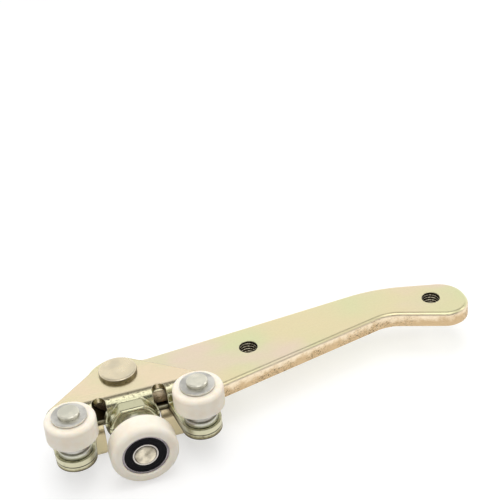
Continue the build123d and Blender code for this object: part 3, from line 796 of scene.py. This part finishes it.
stop_look = plated(
    "stop_sheet_plating", STOP_CLOUDS, tab_cut_faces, (stop_low.z, stop_high.z), STOP_CUT,
    gloss=0.34, gap_dark_reach=5 * MM,
)
looks = {
    "arm_plate": arm_look,
    "upper_bracket": upper_look,
    "lower_bracket": lower_look,
    "stop_plate": stop_look,
}
print("plated pieces:", len(looks))

# %% [markdown]
# ## Rivets, pins and washers
# These are turned or stamped and then tumbled in bright zinc, so they are more silvery
# than the sheets. Turning leaves faint rings around the piece's own axis. Each finish
# therefore takes the axis from the CAD piece's box, measures the distance from it, and
# turns that distance into rings. Tumbling adds tiny dents. The rivet's big head gets a
# painted dark reflection round its upright side, and the bearing's inner ring is dark
# next to the load axle.

# %% Recipe for turned pieces
TURNED_SCRATCHES = paint(250, 248, 240)
TURNED_EDGES = paint(248, 246, 238)
CLOUD_SCALE, CLOUD_LEVELS = 150, (0.36, 0.68)
DENT_SCALE = 520
RING_DEPTH, DENT_DEPTH = 0.004 * MM, 0.03 * MM
GAP_RIM = 0.15 * MM
# Share of the painted dark reflection on upright faces.
SIDE_REFLECTION_SHOWS = 0.85


def turned(name, node, along, colours, gloss, ring_pitch, dent=DENT_DEPTH,
           gap_r=0.0, reach=6 * MM, painted_side_reflection=None):
    """Bright zinc on a piece that was turned about its own axis.

    colours: the two that its clouds mix. gap_r: it is dark inside this radius. side:
    a darker colour painted on its upright faces as a dark reflection.
    """
    made, tree, shader = start_material(name)
    shader.inputs["Metallic"].default_value = 1.0
    low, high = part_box(node)
    away = axis_distance(tree, (low + high) / 2, along)
    wave = math_node(tree, "SINE", times(tree, away, 2 * math.pi / ring_pitch))
    place = own_place(tree)
    cloud = noise(tree, place, CLOUD_SCALE, 4.0, 0.55)
    dents = noise(tree, place, DENT_SCALE, 2.0)
    worn = place_group(tree, worn_edges, Width=0.3 * MM)
    hairs = place_group(tree, hair_scratches, Amount=0.7)["Mask"]
    # Painted shade and grime in shut-in places.
    shade_and_grime = place_group(tree, gap_shade_and_grime, Reach=reach, Amount=0.9)["Mask"]
    if gap_r:
        gap = ramp(tree, away, gap_r, gap_r + GAP_RIM, 0.9, 0.0)
        shade_and_grime = math_node(tree, "MAXIMUM", shade_and_grime, gap)

    mixed = blend(tree, ramp(tree, cloud, *CLOUD_LEVELS), *colours)
    # Painted dark reflection on the upright faces, where a piece asks for it.
    if painted_side_reflection is not None:
        mixed = blend(tree, times(tree, upright_faces(tree), SIDE_REFLECTION_SHOWS), mixed, painted_side_reflection)
    mixed = blend(tree, times(tree, hairs, 0.4), mixed, TURNED_SCRATCHES)
    mixed = blend(tree, times(tree, worn["Mask"], 0.5), mixed, TURNED_EDGES)
    join(tree, blend(tree, shade_and_grime, mixed, SHADE_AND_GRIME), shader.inputs["Base Color"])
    join(tree, ramp(tree, cloud, 0.3, 0.7, gloss, gloss + 0.10), shader.inputs["Roughness"])
    rings = bump(tree, wave, RING_DEPTH, 0.5, worn["Rounded"])
    join(tree, bump(tree, dents, dent, 0.5, rings), shader.inputs["Normal"])
    return made


print("turned recipe ready")

# %% [markdown]
# One row for each piece keeps the finishes easy to compare. The load axle has the deepest
# dents, because its end was hammered over. The balls are the smoothest. The left and the
# right guide roller have the same pieces, so their rows are used twice.

# %% Turned pieces
SILVER = paint(232, 230, 222)
GREY = paint(205, 203, 196)
STAMPED = dict(colours=(SILVER, GREY), gloss=0.30, ring_pitch=0.5 * MM)

TURNED_PIECES = {  # CAD piece: name of its finish, and the finish
    "swivel_rivet": ("rivet_zinc", dict(
        along="Z", colours=(paint(242, 228, 196), paint(230, 218, 190)), gloss=0.26,
        # The rivet's upright side gets a painted dark reflection.
        ring_pitch=0.6 * MM, reach=10 * MM, painted_side_reflection=paint(112, 104, 78))),
    "swivel_washer": ("swivel_washer_zinc", dict(along="Z", **STAMPED)),
    "swivel_bush": ("swivel_bush_zinc", dict(along="Z", **STAMPED)),
    "axle_spacer": ("axle_spacer_zinc", dict(along="Y", **STAMPED)),
    "load_axle": ("axle_zinc", dict(
        along="Y", colours=(paint(232, 222, 200), paint(150, 142, 124)), gloss=0.28,
        ring_pitch=0.6 * MM, dent=0.12 * MM)),
    "bearing_inner_ring": ("inner_ring_steel", dict(
        along="Y", colours=(paint(206, 200, 192), paint(180, 174, 168)), gloss=0.20,
        ring_pitch=0.2 * MM, dent=0.01 * MM, gap_r=5.25 * MM)),
    "bearing_outer_ring": ("outer_ring_steel", dict(
        along="Y", colours=(paint(150, 142, 146), paint(120, 114, 118)), gloss=0.20,
        ring_pitch=0.2 * MM, dent=0.01 * MM)),
    "bearing_balls": ("ball_steel", dict(
        along="Y", colours=(paint(220, 220, 220), paint(210, 210, 210)), gloss=0.08,
        ring_pitch=0.2 * MM, dent=0.005 * MM)),
    "bearing_cage": ("cage_steel_look", dict(
        along="Y", colours=(paint(190, 182, 166), paint(170, 164, 150)), gloss=0.35,
        ring_pitch=0.3 * MM)),
}
GUIDE_PIECES = {
    "guide_pin": ("pin_zinc", dict(
        along="Z", colours=(paint(240, 236, 218), paint(222, 220, 204)), gloss=0.26,
        ring_pitch=0.5 * MM, dent=0.09 * MM)),
    "guide_bush": ("bush_zinc", dict(
        along="Z", colours=(GREY, paint(170, 166, 156)), gloss=0.32, ring_pitch=0.5 * MM)),
    "spacer_washer": ("spacer_zinc", dict(
        along="Z", colours=(paint(205, 205, 188), GREY), gloss=0.28, ring_pitch=0.5 * MM)),
    "top_washer": ("washer_zinc", dict(
        along="Z", colours=(SILVER, GREY), gloss=0.34, ring_pitch=0.5 * MM)),
}
for node, (name, finish) in TURNED_PIECES.items():
    looks[node] = turned(name, node, **finish)
for hand in ("left", "right"):
    for piece, (name, finish) in GUIDE_PIECES.items():
        node = f"{hand}_{piece}"
        looks[node] = turned(f"{hand}_{name}", node, **finish)
print("turned pieces:", len(TURNED_PIECES) + 2 * len(GUIDE_PIECES))

# %% [markdown]
# ## Nylon and rubber
# The rollers are moulded in a warm white nylon. It lets a little light in, which softens
# its shadows, so it has some subsurface scattering, with a slight cloudiness, a few specks
# and a fine satin texture. Faint rings run round each roller's own axis.

# %% Nylon
NYLON = paint(253, 244, 229)
NYLON_CLOUD = paint(249, 236, 216)
NYLON_SPECK = paint(212, 198, 176)
NYLON_RING_PITCH, NYLON_RING_DEPTH = 0.8 * MM, 0.003 * MM
SATIN_SCALE, SATIN_DEPTH = 2200, 0.03 * MM


def nylon(name, node, along):
    """White nylon moulded round an axis along "Y" or "Z"."""
    made, tree, shader = start_material(name)
    low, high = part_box(node)
    place = own_place(tree)
    cloud = noise(tree, place, 120, 4.0, 0.6)
    colour = blend(tree, ramp(tree, cloud, 0.35, 0.7), NYLON, NYLON_CLOUD)
    specks = ramp(tree, noise(tree, place, 1100, 2.0, 0.6), 0.72, 0.80, 0.0, 0.30)
    join(tree, blend(tree, specks, colour, NYLON_SPECK), shader.inputs["Base Color"])
    join(tree, ramp(tree, cloud, 0.3, 0.7, 0.40, 0.52), shader.inputs["Roughness"])
    shader.inputs["Subsurface Weight"].default_value = 0.25
    shader.inputs["Subsurface Radius"].default_value = (1.0, 0.7, 0.45)
    shader.inputs["Subsurface Scale"].default_value = 1.5 * MM
    shader.inputs["Specular IOR Level"].default_value = 0.4
    away = axis_distance(tree, (low + high) / 2, along)
    rings = math_node(tree, "SINE", times(tree, away, 2 * math.pi / NYLON_RING_PITCH))
    satin = bump(tree, noise(tree, place, SATIN_SCALE, 3.0), SATIN_DEPTH, 0.35)
    join(tree, bump(tree, rings, NYLON_RING_DEPTH, 0.5, satin), shader.inputs["Normal"])
    return made


looks["load_tyre"] = nylon("tyre_nylon", "load_tyre", "Y")
looks["left_guide_roller"] = nylon("left_roller_nylon", "left_guide_roller", "Z")
looks["right_guide_roller"] = nylon("right_roller_nylon", "right_guide_roller", "Z")
print("nylon rollers: 3")

# %% [markdown]
# The bearing's seals are black moulded rubber with shallow rings, a fine grain and a few
# specks of dust. Rubber reflects little, so the specular level is low and the roughness
# is fairly high. Both seals share one material.

# %% Rubber seals
RUBBER_DARK, RUBBER_LIGHT = paint(4, 3, 6), paint(12, 10, 16)
RUBBER_DUST = paint(120, 116, 118)
SEAL_RING_PITCH, SEAL_RING_DEPTH = 1.3 * MM, 0.06 * MM
RUBBER_GRAIN_SCALE, RUBBER_GRAIN_DEPTH = 3500, 0.03 * MM

rubber, tree, shader = start_material("seal_rubber_black")
low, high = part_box("bearing_front_seal")
place = own_place(tree)
dust = ramp(tree, noise(tree, place, 1500, 3.0, 0.7), 0.66, 0.74, 0.0, 0.6)
colour = blend(tree, noise(tree, place, 400, 3.0), RUBBER_DARK, RUBBER_LIGHT)
join(tree, blend(tree, dust, colour, RUBBER_DUST), shader.inputs["Base Color"])
rough = ramp(tree, noise(tree, place, 700, 3.0), 0.3, 0.7, 0.42, 0.6)
join(tree, rough, shader.inputs["Roughness"])
shader.inputs["Specular IOR Level"].default_value = 0.10
away = axis_distance(tree, (low + high) / 2, "Y")
rings = math_node(tree, "SINE", times(tree, away, 2 * math.pi / SEAL_RING_PITCH))
grain = bump(tree, noise(tree, place, RUBBER_GRAIN_SCALE, 2.0), RUBBER_GRAIN_DEPTH, 0.4)
join(tree, bump(tree, rings, SEAL_RING_DEPTH, 0.8, grain), shader.inputs["Normal"])
looks["bearing_front_seal"] = looks["bearing_rear_seal"] = rubber
print("rubber seals: 2")

# %% [markdown]
# Now every CAD piece has a finish, and they can be put on. The dictionary is read by the
# piece's name, so a piece without a finish would stop the script here.

# %% Put the finishes on
for name, node in frame["nodes"].items():
    node.data.materials.clear()
    node.data.materials.append(looks[name])
print("finished pieces:", len(frame["nodes"]))

# %% [markdown]
# ## Screw threads
# The two arm holes are tapped for coarse ten millimetre screws. In CAD their walls are
# plain, so here each hole gets a real helical ridge. Its crests carry a painted highlight,
# brighter in patches, and its flanks and roots carry painted shade, so the colour follows
# the distance from the hole's axis.

# %% Thread finish
PITCH = 1.5 * MM
CREST_DEPTH = 0.46 * MM
CREST_BRIGHT, CREST_DARK = 0.45 * MM, 0.28 * MM  # inside the hole's wall
# Painted shade in the thread's flanks and roots.
PAINTED_ROOT_SHADE = paint(24, 19, 14)
hole_r = tapped_holes[0]["dims"]["r_mm"] * MM

thread_look, tree, shader = start_material("tapped_steel")
shader.inputs["Metallic"].default_value = 1.0
distances = [axis_distance(tree, hole["pos_m"], "Z") for hole in tapped_holes]
nearest = math_node(tree, "MINIMUM", *distances)
# Painted highlight on the crests, painted shade on the flanks and roots.
crest_highlight = ramp(tree, nearest, hole_r - CREST_BRIGHT, hole_r - CREST_DARK, 1.0, 0.0)
mottle = noise(tree, own_place(tree), 1500, 3.0)
patchy_painted_light = ramp(tree, mottle, 0.40, 0.60)
# The crests' painted highlight, brighter in patches.
bright = blend(tree, patchy_painted_light, paint(120, 110, 88), paint(236, 228, 204))
join(tree, blend(tree, crest_highlight, PAINTED_ROOT_SHADE, bright), shader.inputs["Base Color"])
join(tree, ramp(tree, mottle, 0.3, 0.7, 0.26, 0.40), shader.inputs["Roughness"])
join(tree, bump(tree, mottle, 0.02 * MM, 0.4), shader.inputs["Normal"])
print("thread pitch", PITCH / MM, "mm")

# %% [markdown]
# The ridge itself is a flat-topped triangle that is swept round the wall and rises one
# pitch per turn. It is a long strip of rings of four points, joined ring to ring and
# closed at both ends. Its height fades out near the ends, as a tap leaves it, and its foot
# is sunk a little into the wall, so that no gap shows. It stays just inside the plate.

# %% Threads
STEPS = 48
ROOT_SINK = 0.02 * MM
END_MARGIN = 0.3 * MM
FADE_TURNS = 0.4
FLANK_SHARE, CREST_SHARE = 0.44, 0.07  # of the pitch, above and below the middle
LEAST_FLANK, LEAST_CREST = 0.05, 0.02


def thread(name, centre, wall_r, bottom, top):
    """Helical ridge on a hole's wall, from bottom to top."""
    mesh = bpy.data.meshes.new(name)
    bm = bmesh.new()
    count = int((top - bottom) / PITCH * STEPS)
    fade_steps = STEPS * FADE_TURNS
    root_r = wall_r + ROOT_SINK
    crest_rise = CREST_SHARE * PITCH
    rings = []
    for i in range(count + 1):
        angle = 2 * math.pi * i / STEPS
        z = bottom + (top - bottom) * i / count
        fade = min(1.0, i / fade_steps, (count - i) / fade_steps)
        flank = FLANK_SHARE * PITCH * max(fade, LEAST_FLANK)
        crest_r = wall_r - CREST_DEPTH * max(fade, LEAST_CREST)
        profile = (
            (root_r, -flank), (crest_r, -crest_rise), (crest_r, crest_rise), (root_r, flank),
        )
        ring = []
        for r, rise in profile:
            x = centre.x + r * math.cos(angle)
            y = centre.y + r * math.sin(angle)
            height = min(max(z + rise, bottom), top)
            ring.append(bm.verts.new((x, y, height)))
        rings.append(ring)
    for first, second in zip(rings, rings[1:]):
        for k in range(4):
            m = (k + 1) % 4
            bm.faces.new((first[k], first[m], second[m], second[k]))
    bm.faces.new(rings[0][::-1])
    bm.faces.new(rings[-1])
    bmesh.ops.recalc_face_normals(bm, faces=bm.faces)
    bm.to_mesh(mesh)
    bm.free()
    made = bpy.data.objects.new(name, mesh)
    bpy.context.collection.objects.link(made)
    made.data.materials.append(thread_look)
    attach(made, "arm")
    return made


for hole in tapped_holes:
    bottom, top = arm_low.z + END_MARGIN, arm_high.z - END_MARGIN
    made = thread("thread_" + hole["name"], Vector(hole["pos_m"]), hole_r, bottom, top)
    print(made.name, len(made.data.vertices), "points")

# %% [markdown]
# ## Sizes and the end
# The looks must not make the object bigger than its CAD model, so the script prints how far
# the corners of its box moved.

# %% Print how far the box moved
final_low, final_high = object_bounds()
low_moved, high_moved = final_low - cad_low, final_high - cad_high
print("box corners moved by", round(low_moved.length / MM, 3),
      "and", round(high_moved.length / MM, 3), "mm")
